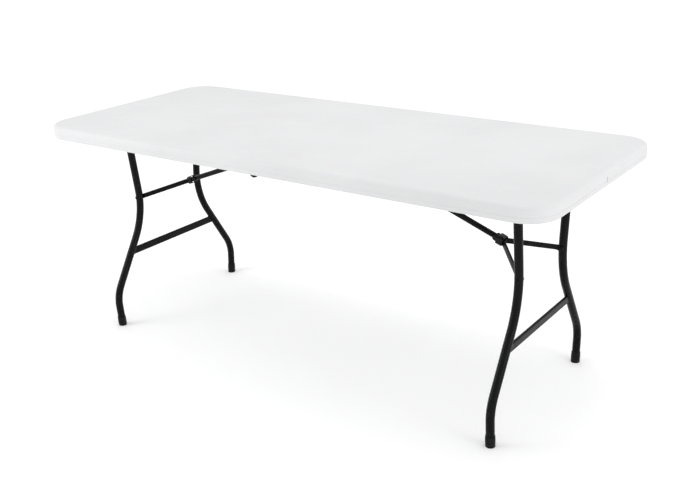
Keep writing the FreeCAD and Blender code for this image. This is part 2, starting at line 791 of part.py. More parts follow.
def build_middle():
    cross_tube("centre_tube", "centre_tube_half_length", size("centre_tube_height"), at(0, 0, 0))
    for depth_name, depth in DEPTHS.items():
        saddle("centre_saddle_" + depth_name, 0.0, depth * size("centre_saddle_y"),
               size("centre_tube_height"), "")
    saddle_screws("centre_saddle_screws", [place for place in saddle_places() if place[0] == 0])
    brace_bracket()


tabletop()
build_middle()
for name, end in ENDS.items():
    build_end(name, end)
doc.recompute()

for item in doc.Objects:
    if "Invalid" in item.State or "Error" in item.State:
        raise RuntimeError("%s did not build: %s" % (item.Name, item.State))
for item in subparts:
    if item.Shape.isNull() or not item.Shape.isValid():
        raise RuntimeError("%s has no valid shape" % item.Label)

os.makedirs("parts", exist_ok=True)
for item in subparts:
    item.Shape.exportStep("parts/%s.step" % item.Label)
    print("%-28s %2d solid(s) %10.0f mm3" % (item.Label, len(item.Shape.Solids), item.Shape.Volume))
print("hinge at", hinge, "link", round(link_length, 3), "drop", round(brace_drop, 4))
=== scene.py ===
# %% [markdown]
# # A folding table, dressed for its portrait
# The metal skeleton of this table (tubes, pivots, the fold itself) comes ready made as a fixed
# frame. Here that frame is dressed: the moulded top, the pressed and turned fittings, the welds and
# the paint are modelled with Blender's own editing tools, one small step to a cell.

# %% Load the fixed frame
import math
import bmesh
import bpy
from mathutils import Matrix, Vector


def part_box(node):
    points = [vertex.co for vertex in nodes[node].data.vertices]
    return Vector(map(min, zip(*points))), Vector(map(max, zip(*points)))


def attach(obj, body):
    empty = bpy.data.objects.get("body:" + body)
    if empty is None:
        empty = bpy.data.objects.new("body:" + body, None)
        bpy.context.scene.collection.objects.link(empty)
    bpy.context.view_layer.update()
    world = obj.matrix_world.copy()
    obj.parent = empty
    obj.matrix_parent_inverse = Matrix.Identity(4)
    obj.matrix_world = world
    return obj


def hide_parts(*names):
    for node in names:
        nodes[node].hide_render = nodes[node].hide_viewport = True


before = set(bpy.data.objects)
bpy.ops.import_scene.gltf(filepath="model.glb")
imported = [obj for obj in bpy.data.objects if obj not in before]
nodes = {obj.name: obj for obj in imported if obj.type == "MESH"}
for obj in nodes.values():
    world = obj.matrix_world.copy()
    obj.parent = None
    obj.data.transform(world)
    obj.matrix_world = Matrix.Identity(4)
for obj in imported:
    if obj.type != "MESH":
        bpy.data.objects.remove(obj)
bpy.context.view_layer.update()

# %% [markdown]
# ## Working habits
# Blender's operators act on whatever is selected, so every step starts by letting go of everything.
# In edit mode, faces or edges are then picked by where they lie or which way they face, just as a
# person would click them.

# %% Selection helpers
MM = 0.001
FACING = 0.99  # how squarely a face has to face one way to be picked


def let_go():
    """Leave edit mode and select nothing."""
    if bpy.context.object and bpy.context.object.mode != "OBJECT":
        bpy.ops.object.mode_set(mode="OBJECT")
    bpy.ops.object.select_all(action="DESELECT")


def work_on(piece):
    """Make one object the only selected and active one."""
    let_go()
    piece.select_set(True)
    bpy.context.view_layer.objects.active = piece
    return piece


def edit(piece, mode="FACE"):
    """Enter edit mode with nothing selected."""
    work_on(piece)
    bpy.ops.object.mode_set(mode="EDIT")
    bpy.ops.mesh.select_mode(type=mode)
    bpy.ops.mesh.select_all(action="DESELECT")


def pick(piece, kind, test):
    """In edit mode, select the faces, edges or verts that pass a test, and say how many."""
    mesh = bmesh.from_edit_mesh(piece.data)
    bpy.ops.mesh.select_all(action="DESELECT")
    parts = {"faces": mesh.faces, "edges": mesh.edges, "verts": mesh.verts}[kind]
    count = 0
    for part in parts:
        if test(part):
            part.select_set(True)
            count += 1
    mesh.select_flush_mode()
    bmesh.update_edit_mesh(piece.data)
    return count


def edge_levels(edge):
    return edge.verts[0].co.z, edge.verts[1].co.z


def close_to(value, target, slack=0.05 * MM):
    return abs(value - target) < slack


def tidy_normals(piece):
    """Merge doubles and turn every face outwards."""
    edit(piece)
    bpy.ops.mesh.select_all(action="SELECT")
    bpy.ops.mesh.remove_doubles(threshold=0.01 * MM)
    bpy.ops.mesh.normals_make_consistent(inside=False)
    let_go()


def modify(piece, kind, **settings):
    """Add a modifier, set it and apply it."""
    work_on(piece)
    modifier = piece.modifiers.new(kind.lower(), kind)
    for name, value in settings.items():
        setattr(modifier, name, value)
    bpy.ops.object.modifier_apply(modifier=modifier.name)


def smooth(piece, degrees=38):
    work_on(piece)
    bpy.ops.object.shade_smooth_by_angle(angle=math.radians(degrees))


def settle(piece):
    """Push an object's place, turn and scale into its mesh."""
    work_on(piece)
    bpy.ops.object.transform_apply(location=True, rotation=True, scale=True)
    return piece


def copy_to(piece, name, matrix):
    """A copy with its own mesh, moved by a matrix, its object left at the origin."""
    twin = piece.copy()
    twin.data = piece.data.copy()
    twin.name = name
    twin.data.name = name
    bpy.context.collection.objects.link(twin)
    twin.data.transform(matrix)
    if matrix.determinant() < 0:
        twin.data.flip_normals()
    return twin


def discard(piece):
    bpy.data.objects.remove(piece)


def join(pieces, name):
    let_go()
    for piece in pieces:
        piece.select_set(True)
    bpy.context.view_layer.objects.active = pieces[0]
    if len(pieces) > 1:
        bpy.ops.object.join()
    pieces[0].name = name
    return pieces[0]


def middle(node):
    """The middle of a frame node's box."""
    low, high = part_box(node)
    return (low + high) / 2


def block(name, low, high):
    """A cube primitive stretched between two corners."""
    let_go()
    low, high = Vector(low), Vector(high)
    bpy.ops.mesh.primitive_cube_add(size=1, location=(low + high) / 2)
    piece = bpy.context.object
    piece.name = name
    piece.scale = high - low
    return settle(piece)


print("helpers ready; one millimetre is", MM)


# %% [markdown]
# ## Camera
# The camera stands in front of the right-hand end, a little above the top, and looks down on it.
# Its turn is built from three plain turns: round the vertical, up from straight down, and a slight
# tilt of the head.

# %% Camera
def make_camera(place, turn, tip, tilt, lens):
    data = bpy.data.cameras.new("camera")
    data.lens = lens
    data.sensor_width = 36.0
    camera = bpy.data.objects.new("camera", data)
    bpy.context.collection.objects.link(camera)
    camera.matrix_world = (
        Matrix.Translation(place)
        @ Matrix.Rotation(math.radians(turn), 4, "Z")
        @ Matrix.Rotation(math.radians(90 - tip), 4, "X")
        @ Matrix.Rotation(math.radians(tilt), 4, "Z")
    )
    bpy.context.scene.camera = camera
    print("camera at", [round(v, 2) for v in place], "lens", lens)


make_camera(place=(1.765, -2.316, 1.454), turn=36.18, tip=21.05, tilt=-2.055, lens=48.81)

# %% [markdown]
# ## Studio
# A white sweep: one large pale floor, a white sky all round for soft fill, and three broad lamps.
# The end lamp stands off the right-hand end, so that end of the top reads brightest, while the
# front lamp sits far to the left and lets the long front edge darken towards the right. The floor
# can only be seen from above, so the underside of the table can be looked at too.

# %% Floor, sky and lamps
def make_floor():
    let_go()
    bpy.ops.mesh.primitive_plane_add(size=60, location=(0, 0, 0))
    floor = bpy.context.object
    floor.name = "floor"
    material = bpy.data.materials.new("studio_floor")
    material.use_nodes = True
    shader = material.node_tree.nodes["Principled BSDF"]
    shader.inputs["Base Color"].default_value = (0.975, 0.975, 0.975, 1)
    shader.inputs["Roughness"].default_value = 0.9
    shader.inputs["Specular IOR Level"].default_value = 0.1
    tree = material.node_tree
    side = tree.nodes.new("ShaderNodeNewGeometry")
    clear = tree.nodes.new("ShaderNodeBsdfTransparent")
    either = tree.nodes.new("ShaderNodeMixShader")
    tree.links.new(side.outputs["Backfacing"], either.inputs["Fac"])
    tree.links.new(shader.outputs["BSDF"], either.inputs[1])
    tree.links.new(clear.outputs["BSDF"], either.inputs[2])
    tree.links.new(either.outputs["Shader"], tree.nodes["Material Output"].inputs["Surface"])
    floor.data.materials.append(material)


def make_lamp(name, place, size, power, aim=(0, 0, 0.5)):
    data = bpy.data.lights.new(name, "AREA")
    data.shape = "RECTANGLE"
    data.size, data.size_y = size
    data.energy = power
    lamp = bpy.data.objects.new(name, data)
    bpy.context.collection.objects.link(lamp)
    lamp.location = place
    lamp.rotation_euler = (Vector(aim) - Vector(place)).to_track_quat("-Z", "Y").to_euler()


def make_sky(strength):
    world = bpy.data.worlds.new("studio")
    world.use_nodes = True
    background = world.node_tree.nodes["Background"]
    background.inputs["Color"].default_value = (1, 1, 1, 1)
    background.inputs["Strength"].default_value = strength
    bpy.context.scene.world = world


make_floor()
make_sky(1.06)
make_lamp("end_lamp", (5.2, -0.6, 1.5), (2.0, 2.0), 48)
make_lamp("front_lamp", (-2.4, -2.2, 1.3), (1.4, 1.2), 24, aim=(-0.9, 0, 0.6))
make_lamp("top_lamp", (0.3, 0.5, 3.2), (1.6, 1.2), 14)
bpy.context.scene.view_settings.view_transform = "Standard"
print("studio ready")

# %% [markdown]
# ## Node-tree helpers
# All five finishes are built from the same few ideas: a noise laid over the object's own
# coordinates, squeezed through a range, then used as colour, roughness or height. Small helpers
# keep each finish short enough to read in one go.

# %% Shader helpers
def new_finish(name):
    """A material, its node tree and its main shader."""
    material = bpy.data.materials.new(name)
    material.use_nodes = True
    tree = material.node_tree
    return material, tree, tree.nodes["Principled BSDF"]


def object_coordinates(tree, stretch=(1, 1, 1)):
    source = tree.nodes.new("ShaderNodeTexCoord")
    mapping = tree.nodes.new("ShaderNodeMapping")
    mapping.inputs["Scale"].default_value = stretch
    tree.links.new(source.outputs["Object"], mapping.inputs["Vector"])
    return mapping.outputs["Vector"]


def noise(tree, vector, scale, detail=3.0, roughness=0.55):
    node = tree.nodes.new("ShaderNodeTexNoise")
    node.inputs["Scale"].default_value = scale
    node.inputs["Detail"].default_value = detail
    node.inputs["Roughness"].default_value = roughness
    tree.links.new(vector, node.inputs["Vector"])
    return node.outputs["Fac"]


def squeeze(tree, value, low, high, start=0.3, stop=0.7):
    """Map the middle of a noise onto a range of numbers."""
    node = tree.nodes.new("ShaderNodeMapRange")
    node.inputs["From Min"].default_value = start
    node.inputs["From Max"].default_value = stop
    node.inputs["To Min"].default_value = low
    node.inputs["To Max"].default_value = high
    tree.links.new(value, node.inputs["Value"])
    return node.outputs["Result"]


def blend_colours(tree, amount, first, second):
    node = tree.nodes.new("ShaderNodeMix")
    node.data_type = "RGBA"
    tree.links.new(amount, node.inputs["Factor"])
    for socket, colour in (("A", first), ("B", second)):
        target = [s for s in node.inputs if s.name == socket and s.type == "RGBA"][0]
        if isinstance(colour, bpy.types.NodeSocket):
            tree.links.new(colour, target)
        else:
            target.default_value = (*colour, 1)
    return [s for s in node.outputs if s.type == "RGBA"][0]


def bumps(tree, shader, layers):
    """Stack bump nodes: each layer is (height, strength, depth in metres)."""
    below = None
    for height, strength, depth in layers:
        node = tree.nodes.new("ShaderNodeBump")
        node.inputs["Strength"].default_value = strength
        node.inputs["Distance"].default_value = depth
        tree.links.new(height, node.inputs["Height"])
        if below:
            tree.links.new(below, node.inputs["Normal"])
        below = node.outputs["Normal"]
    tree.links.new(below, shader.inputs["Normal"])


def drive(tree, shader, socket, value):
    """Feed one socket of the main shader."""
    tree.links.new(value, shader.inputs[socket])


print("shader helpers ready")


# %% [markdown]
# ## Off-white moulded plastic
# The top is polyethylene blown inside a textured mould. The mould's leather-like pebble hides
# scratches, so the plastic shows no sharp reflections: a fine cell pattern as height, a slow cloud
# in the colour where the wall is thicker or thinner, and a faint haze of scuffs in the roughness.

# %% Top plastic
def make_top_plastic():
    material, tree, shader = new_finish("top_plastic")
    place = object_coordinates(tree)
    cloud = squeeze(tree, noise(tree, place, 3.2, 4), 0, 1)
    base = blend_colours(tree, cloud, (0.594, 0.598, 0.603), (0.634, 0.637, 0.641))
    speck = squeeze(tree, noise(tree, place, 420, 2), 0, 0.35, 0.62, 0.8)
    drive(tree, shader, "Base Color", blend_colours(tree, speck, base, (0.55, 0.55, 0.545)))
    scuff = object_coordinates(tree, (1, 7, 7))
    drive(tree, shader, "Roughness", squeeze(tree, noise(tree, scuff, 14, 6, 0.7), 0.46, 0.64))
    pebble = tree.nodes.new("ShaderNodeTexVoronoi")
    pebble.feature = "SMOOTH_F1"
    pebble.inputs["Scale"].default_value = 330
    tree.links.new(place, pebble.inputs["Vector"])
    bumps(tree, shader, (
        (noise(tree, place, 9, 2), 0.25, 0.004),
        (pebble.outputs["Distance"], 0.32, 0.0006),
    ))
    shader.inputs["Specular IOR Level"].default_value = 0.38
    shader.inputs["Subsurface Weight"].default_value = 0.04
    shader.inputs["Subsurface Scale"].default_value = 0.004
    return material


top_plastic = make_top_plastic()
print("finish:", top_plastic.name)

# %% [markdown]
# ## Black paint, black plastic
# The tubes are powder coated: the powder melts into a smooth skin that keeps an orange-peel ripple
# and dulls slightly where hands rub it. The caps and plugs are plain moulded polypropylene, a touch
# greyer and more matt, with a fine spark-eroded grain.

# %% Black finishes
def make_black_paint():
    material, tree, shader = new_finish("black_paint")
    place = object_coordinates(tree)
    cloud = squeeze(tree, noise(tree, place, 11, 5), 0, 1)
    base = blend_colours(tree, cloud, (0.0018, 0.0020, 0.0021), (0.0042, 0.0044, 0.0045))
    dust = squeeze(tree, noise(tree, place, 900, 2), 0, 0.4, 0.66, 0.82)
    drive(tree, shader, "Base Color", blend_colours(tree, dust, base, (0.02, 0.02, 0.02)))
    drive(tree, shader, "Roughness", squeeze(tree, noise(tree, place, 28, 6, 0.7), 0.18, 0.34))
    bumps(tree, shader, (
        (noise(tree, place, 160, 1), 0.22, 0.0008),
        (noise(tree, place, 620, 2), 0.12, 0.0003),
    ))
    shader.inputs["Specular IOR Level"].default_value = 0.10
    return material


def make_black_plastic():
    material, tree, shader = new_finish("black_plastic")
    place = object_coordinates(tree)
    cloud = squeeze(tree, noise(tree, place, 60, 4), 0, 1)
    colour = blend_colours(tree, cloud, (0.0035, 0.0035, 0.0035), (0.007, 0.007, 0.0072))
    drive(tree, shader, "Base Color", colour)
    drive(tree, shader, "Roughness", squeeze(tree, noise(tree, place, 90, 4), 0.45, 0.65))
    bumps(tree, shader, ((noise(tree, place, 1500, 2), 0.35, 0.0003),))
    shader.inputs["Specular IOR Level"].default_value = 0.14
    return material


black_paint = make_black_paint()
black_plastic = make_black_plastic()
print("finishes:", black_paint.name, black_plastic.name)

# %% [markdown]
# ## Plated steel and the dark ring
# Screws, saddles and the bracket's pivots are zinc plated: bright, faintly blue, mottled by the
# plating bath and brushed by handling. The locking ring and hinge pin are steel blackened in a
# bath, so they stay metallic where paint would look dead, and rub back to grey metal in patches.

# %% Metal finishes
def make_zinc():
    material, tree, shader = new_finish("zinc_steel")
    place = object_coordinates(tree)
    mottle = squeeze(tree, noise(tree, place, 170, 4, 0.65), 0, 1)
    colour = blend_colours(tree, mottle, (0.38, 0.39, 0.405), (0.54, 0.55, 0.555))
    drive(tree, shader, "Base Color", colour)
    brushed = object_coordinates(tree, (1, 1, 12))
    drive(tree, shader, "Roughness", squeeze(tree, noise(tree, brushed, 300, 4), 0.22, 0.42))
    bumps(tree, shader, ((noise(tree, place, 700, 3), 0.2, 0.0002),))
    shader.inputs["Metallic"].default_value = 1.0
    return material


def make_ring_steel():
    material, tree, shader = new_finish("ring_steel")
    place = object_coordinates(tree)
    mottle = squeeze(tree, noise(tree, place, 120, 5, 0.6), 0, 1)
    base = blend_colours(tree, mottle, (0.008, 0.008, 0.009), (0.018, 0.018, 0.019))
    worn = squeeze(tree, noise(tree, place, 240, 6, 0.7), 0, 0.7, 0.60, 0.72)
    drive(tree, shader, "Base Color", blend_colours(tree, worn, base, (0.11, 0.11, 0.11)))
    drive(tree, shader, "Roughness", squeeze(tree, noise(tree, place, 80, 4), 0.25, 0.4))
    bumps(tree, shader, ((noise(tree, place, 500, 3), 0.2, 0.0003),))
    shader.inputs["Metallic"].default_value = 0.85
    return material


zinc_steel = make_zinc()
ring_steel = make_ring_steel()
finishes = {
    "top_plastic": top_plastic,
    "black_plastic": black_plastic,
    "black_paint": black_paint,
    "zinc_steel": zinc_steel,
    "ring_steel": ring_steel,
}
print("finishes:", sorted(finishes))


# %% [markdown]
# ## Fitting a finished piece
# Every new piece is painted, told which moving body carries it and which plain nodes it stands for.

# %% Fit helper
def fit(piece, finish, body, stands_for=()):
    """Paint a piece, hang it on its body and hide the plain nodes it stands for."""
    piece.data.materials.clear()
    piece.data.materials.append(finishes[finish])
    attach(piece, body)
    if stands_for:
        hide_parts(*stands_for)


# %% [markdown]
# ## The top, outside
# The real top is one hollow shell, blown like a bottle. Its outline is a long rectangle with
# generous corners, the upper edge is rolled over to be kind to forearms, and the lower edge is a
# tight radius. A cube stretched to size and bevelled three times, tall corner edges first, gives
# all of that cheaply.

# %% Top slab
top_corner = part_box("tabletop")
TOP_LOW, TOP_HIGH = top_corner[0].z, top_corner[1].z
TOP_HALF = (top_corner[1].x, top_corner[1].y)
DECK = TOP_HIGH - 0.022
CORNER = 0.092
TOP_ROUND = 0.012
LOW_ROUND = 0.004
RIM = 0.020
LIP_ROUND = 0.003
DECK_ROUND = 0.006


def bevel_picked(width, steps, profile=0.5):
    bpy.ops.mesh.bevel(offset=width, offset_type="OFFSET", segments=steps, profile=profile,
                       clamp_overlap=False)


top = block("moulded_top", (-TOP_HALF[0], -TOP_HALF[1], TOP_LOW), (*TOP_HALF, TOP_HIGH))
edit(top, "EDGE")
pick(top, "edges", lambda e: abs(edge_levels(e)[0] - edge_levels(e)[1]) > 10 * MM)
bevel_picked(CORNER, 18)
pick(top, "edges", lambda e: all(close_to(z, TOP_HIGH) for z in edge_levels(e)))
bevel_picked(TOP_ROUND, 6)
pick(top, "edges", lambda e: all(close_to(z, TOP_LOW) for z in edge_levels(e)))
bevel_picked(LOW_ROUND, 3)
print("slab:", len(top.data.polygons), "faces")

# %% [markdown]
# ## Parting line
# Two mould halves meet round the edge. The flash is trimmed off at the factory but a fine line
# stays. Two cuts a hair apart leave a narrow band of faces, which is then pushed in.

# %% Parting line
SEAM = 0.7075
SEAM_WIDE = 0.0008
SEAM_DEEP = -0.0004

edit(top)
for level in (SEAM, SEAM + SEAM_WIDE):
    bpy.ops.mesh.select_all(action="SELECT")
    bpy.ops.mesh.bisect(plane_co=(0, 0, level), plane_no=(0, 0, 1))
pick(top, "faces", lambda f: SEAM < f.calc_center_median().z < SEAM + SEAM_WIDE)
bpy.ops.mesh.extrude_region_shrink_fatten(TRANSFORM_OT_shrink_fatten={"value": SEAM_DEEP})
let_go()
print("parting line at", SEAM)

# %% [markdown]
# ## The recess underneath
# The shell is folded up inside its rim, like the foot of a bowl. The flat bottom face is inset by
# the width of the rim, pushed up to the deck, and both new edges are rounded: moulded plastic has
# no sharp corners.

# %% Recess
def inside_rim(vert):
    """True where a corner point lies within the rim."""
    return all(abs(vert.co[axis]) < TOP_HALF[axis] - RIM + MM for axis in (0, 1))


edit(top)
pick(top, "faces", lambda f: f.normal.z < -FACING and f.calc_area() > 0.5)
bpy.ops.mesh.inset(thickness=RIM - LOW_ROUND, depth=0)
bpy.ops.mesh.extrude_region_move(TRANSFORM_OT_translate={"value": (0, 0, DECK - TOP_LOW)})
bpy.ops.mesh.select_mode(type="EDGE")
for level, radius in ((TOP_LOW, LIP_ROUND), (DECK, DECK_ROUND)):
    picked = pick(top, "edges", lambda e: all(close_to(z, level) for z in edge_levels(e))
                  and all(inside_rim(v) for v in e.verts))
    bevel_picked(radius, 4)
    print("rounded", picked, "edges at", level)
let_go()

# %% [markdown]
# ## Pads for the tubes
# Six thick pads hang from the deck, each with a half-round groove that cradles a cross tube. Each
# is a block with softened edges; a long rod scoops out the groove, and the pad joins the deck.

# %% Pads
PAD_SIZE = (0.084, 0.036)
TUBE = 0.0127
AXLE_PLAY = 0.0003
PAD_ROUND = 0.0025
SUNK = 0.004


def rod_along_y(name, radius, half_length, x, z, y=0.0, steps=40):
    let_go()
    bpy.ops.mesh.primitive_cylinder_add(vertices=steps, radius=radius, depth=2 * half_length,
                                        location=(x, y, z), rotation=(math.radians(90), 0, 0))
    rod = bpy.context.object
    rod.name = name
    return settle(rod)


def soften(piece, width, steps=3, above=30):
    modify(piece, "BEVEL", width=width, segments=steps, limit_method="ANGLE",
           angle_limit=math.radians(above), harden_normals=False)


saddle_nodes = sorted(name for name in nodes if name.endswith(("_saddle_front", "_saddle_back")))
for name in saddle_nodes:
    x, y, low = middle(name).x, middle(name).y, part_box(name)[1].z
    groove = TUBE if name.startswith("centre") else TUBE + AXLE_PLAY
    pad = block("pad", (x - PAD_SIZE[0] / 2, y - PAD_SIZE[1] / 2, low),
                (x + PAD_SIZE[0] / 2, y + PAD_SIZE[1] / 2, DECK + SUNK))
    soften(pad, PAD_ROUND)
    rod = rod_along_y("groove", groove, PAD_SIZE[1], x, low, y)
    modify(pad, "BOOLEAN", operation="DIFFERENCE", object=rod, solver="EXACT")
    discard(rod)
    modify(top, "BOOLEAN", operation="UNION", object=pad, solver="EXACT")
    discard(pad)
print("pads:", len(saddle_nodes))

# %% [markdown]
# ## Troughs for the folded legs
# A shallow trough runs down the middle so the braces have somewhere to go, and widens near each end
# for the yoke. One cutter block for each, with rounded corners, sunk into the deck.

# %% Troughs
CHANNEL = ((-0.695, -0.030), (0.695, 0.030), 0.730)
POCKETS = [((-0.685, -0.098), (-0.470, 0.098), 0.724), ((0.470, -0.098), (0.685, 0.098), 0.724)]
BELOW_DECK = 0.004
ROOF_ROUND = 0.0025
CHANNEL_CORNER, POCKET_CORNER = 0.016, 0.022


def cut_trough(low, high, roof, corner):
    cutter = block("trough", (*low, DECK - BELOW_DECK), (*high, roof))
    edit(cutter, "EDGE")
    pick(cutter, "edges", lambda e: abs(edge_levels(e)[0] - edge_levels(e)[1]) > 5 * MM)
    bevel_picked(corner, 6)
    pick(cutter, "edges", lambda e: all(close_to(z, roof) for z in edge_levels(e)))
    bevel_picked(ROOF_ROUND, 3)
    let_go()
    modify(top, "BOOLEAN", operation="DIFFERENCE", object=cutter, solver="EXACT")
    discard(cutter)


cut_trough(*CHANNEL, corner=CHANNEL_CORNER)
for pocket in POCKETS:
    cut_trough(*pocket, corner=POCKET_CORNER)
print("troughs: 1 long, %d wide" % len(POCKETS))

# %% [markdown]
# ## Dimples
# A hollow panel would drum and sag, so the underside is pinched up to the top skin in rows of
# conical dimples, each a little stiffening post. One tapered plug with a flared mouth is modelled
# once and copied to all places, and the whole field is cut in one go.

# %% Dimples
DIMPLE_X = [side * step * MM for side in (-1, 1) for step in range(60, 661, 120)]
DIMPLE_Y = [side * y for side in (-1, 1) for y in (0.130, 0.205, 0.280)]
MOUTH, FLOOR, DEEP = 0.011, 0.007, 0.0195
FLARE = 0.0018
DIMPLE_ROUND = 0.0016

let_go()
bpy.ops.mesh.primitive_cone_add(vertices=18, radius1=MOUTH, radius2=FLOOR, depth=DEEP,
                                location=(0, 0, DECK + DEEP / 2))
plug = settle(bpy.context.object)
edit(plug, "EDGE")
pick(plug, "edges", lambda e: all(close_to(z, DECK + DEEP) for z in edge_levels(e)))
bevel_picked(DIMPLE_ROUND, 2)
bpy.ops.mesh.select_mode(type="FACE")
pick(plug, "faces", lambda f: f.normal.z < -FACING)
bpy.ops.mesh.extrude_region_move(TRANSFORM_OT_translate={"value": (0, 0, -FLARE)})
bpy.ops.transform.resize(value=(1 + FLARE / MOUTH, 1 + FLARE / MOUTH, 1))
let_go()
field = [copy_to(plug, "dimple", Matrix.Translation((x, y, FLARE / 2)))
         for x in DIMPLE_X for y in DIMPLE_Y]
discard(plug)
field = join(field, "dimples")
modify(top, "BOOLEAN", operation="DIFFERENCE", object=field, solver="EXACT")
discard(field)
print("dimples:", len(DIMPLE_X) * len(DIMPLE_Y), "faces now", len(top.data.polygons))

# %% [markdown]
# ## Blow-pin notches
# Air goes in through a pin at the middle of each short edge, and a small upright slot is left where
# it is drawn out. A slim rounded block bites a little way into both ends.

# %% End notches
NOTCH = (0.0025, 0.0055, 0.0145)
NOTCH_MIDDLE = 0.7130
NOTCH_ROUND = 0.0012

for side in (-1, 1):
    edge_x = side * TOP_HALF[0]
    deep, wide, tall = NOTCH
    cutter = block("notch", (edge_x - deep, -wide / 2, NOTCH_MIDDLE - tall / 2),
                   (edge_x + deep, wide / 2, NOTCH_MIDDLE + tall / 2))
    soften(cutter, NOTCH_ROUND)
    modify(top, "BOOLEAN", operation="DIFFERENCE", object=cutter, solver="EXACT")
    discard(cutter)
tidy_normals(top)
smooth(top, 32)
fit(top, "top_plastic", "top", ["tabletop"])
print("top finished:", len(top.data.polygons), "faces")

# %% [markdown]
# ## Tubes, bars and the bracket
# The bent legs, cross tubes, links, lower bars and the folded bracket are already exact in the
# frame, so they keep their shapes and only get paint. Bending tube is a job for a bending machine
# with a fixed radius, and nothing is won by bending it twice.

# %% Painted steel
painted = [name for name in sorted(nodes)
           if name.endswith(("_leg", "_axle", "_upper_link", "_lower_bar"))
           or name in ("centre_tube", "brace_bracket")]
for name in painted:
    nodes[name].data.materials.clear()
    nodes[name].data.materials.append(black_paint)
print("painted:", len(painted))

# %% [markdown]
# ## Foot caps
# Each leg ends in a moulded cup that grips the tube and saves the floor. It has a thin wall, three
# grip rings and a flat sole. The legs reach the floor at a small lean, so the cap is
# leaned first and its sole is then cut level, as wear would do.

# %% Foot caps
END_X = middle("right_lower_bar").x
CAP_RADIUS = 0.0141
CAP_LENGTH = 0.034
CAP_SUNK = 0.004
CAP_FLOOR = 0.004
CAP_PLAY = 0.0001
CAP_EDGE = 0.00012
CAP_LEAN = math.radians(3.35)
foot_low, foot_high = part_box("right_back_foot")
CAP_Y = foot_low.y + (foot_high.x - foot_low.x) / 2 / math.cos(CAP_LEAN)
GRIP_LEVELS = (0.012, 0.018, 0.024)
GRIP_TALL = 0.0022
GRIP_DEEP = 0.4 * MM


def make_foot_cap():
    let_go()
    bpy.ops.mesh.primitive_cylinder_add(vertices=40, radius=CAP_RADIUS, depth=CAP_LENGTH + CAP_SUNK,
                                        location=(0, 0, (CAP_LENGTH - CAP_SUNK) / 2))
    cap = settle(bpy.context.object)
    edit(cap)
    for level in GRIP_LEVELS:
        for cut_at in (level, level + GRIP_TALL):
            bpy.ops.mesh.select_all(action="SELECT")
            bpy.ops.mesh.bisect(plane_co=(0, 0, cut_at), plane_no=(0, 0, 1))
        pick(cap, "faces", lambda f: abs(f.normal.z) < 0.1
             and level < f.calc_center_median().z < level + GRIP_TALL)
        bpy.ops.mesh.extrude_region_shrink_fatten(TRANSFORM_OT_shrink_fatten={"value": GRIP_DEEP})
    pick(cap, "faces", lambda f: f.normal.z > FACING and f.calc_center_median().z > CAP_LENGTH - MM)
    bpy.ops.mesh.inset(thickness=CAP_RADIUS - TUBE - CAP_PLAY, depth=0)
    down = CAP_FLOOR - CAP_LENGTH
    bpy.ops.mesh.extrude_region_move(TRANSFORM_OT_translate={"value": (0, 0, down)})
    let_go()
    cap.data.transform(Matrix.Rotation(-CAP_LEAN, 4, "X"))
    edit(cap)
    bpy.ops.mesh.select_all(action="SELECT")
    bpy.ops.mesh.bisect(plane_co=(0, 0, 0), plane_no=(0, 0, 1), use_fill=True, clear_inner=True)
    let_go()
    tidy_normals(cap)
    soften(cap, CAP_EDGE, 2, 50)
    tidy_normals(cap)
    smooth(cap, 35)
    return cap


def end_matrix(end, depth):
    """From a part modelled for the right-hand, far side to any of the four corners."""
    return Matrix.Diagonal((end, depth, 1, 1))


ENDS = (("right", 1), ("left", -1))
DEPTHS = (("front", -1), ("back", 1))
cap = make_foot_cap()
cap.data.transform(Matrix.Translation((END_X, CAP_Y, 0)))
for end_name, end in ENDS:
    for depth_name, depth in DEPTHS:
        label = "%s_%s_foot" % (end_name, depth_name)
        piece = copy_to(cap, label + "_cap", end_matrix(end, depth))
        fit(piece, "black_plastic", end_name + "_leg_frame", [label])
discard(cap)
print("foot caps: 4")

# %% [markdown]
# ## Tube plugs
# Open tube ends are sharp, so each gets a plug: a spigot pushed inside and a shallow domed head
# with a dished face. The spigot's end face is widened into the head, pushed out, then rounded. The
# centre tube's plugs have a wide, thick head, whose lower lip just shows below the top.

# %% Tube plugs
SPIGOT = 0.0114
SPIGOT_LONG = 0.014
PLUG_HEAD = (TUBE, 0.003)
WIDE_HEAD = (0.016, 0.0065)


def make_plug(head, thick):
    """A plug along +Y whose outer face is at y = 0."""
    plug = rod_along_y("plug", SPIGOT, SPIGOT_LONG / 2, 0, 0, -SPIGOT_LONG / 2 - thick)
    edit(plug)
    pick(plug, "faces", lambda f: f.normal.y > FACING)
    bpy.ops.mesh.extrude_region_move(TRANSFORM_OT_translate={"value": (0, 0, 0)})
    bpy.ops.transform.resize(value=(head / SPIGOT, 1, head / SPIGOT))
    bpy.ops.mesh.extrude_region_move(TRANSFORM_OT_translate={"value": (0, thick, 0)})
    bpy.ops.mesh.select_mode(type="EDGE")
    pick(plug, "edges", lambda e: all(close_to(v.co.y, 0) for v in e.verts))
    bevel_picked(1.9 * MM, 4)
    bpy.ops.mesh.select_mode(type="FACE")
    pick(plug, "faces", lambda f: f.normal.y > FACING and close_to(f.calc_center_median().y, 0))
    bpy.ops.mesh.inset(thickness=3.2 * MM, depth=-0.7 * MM)
    tidy_normals(plug)
    smooth(plug, 50)
    return plug


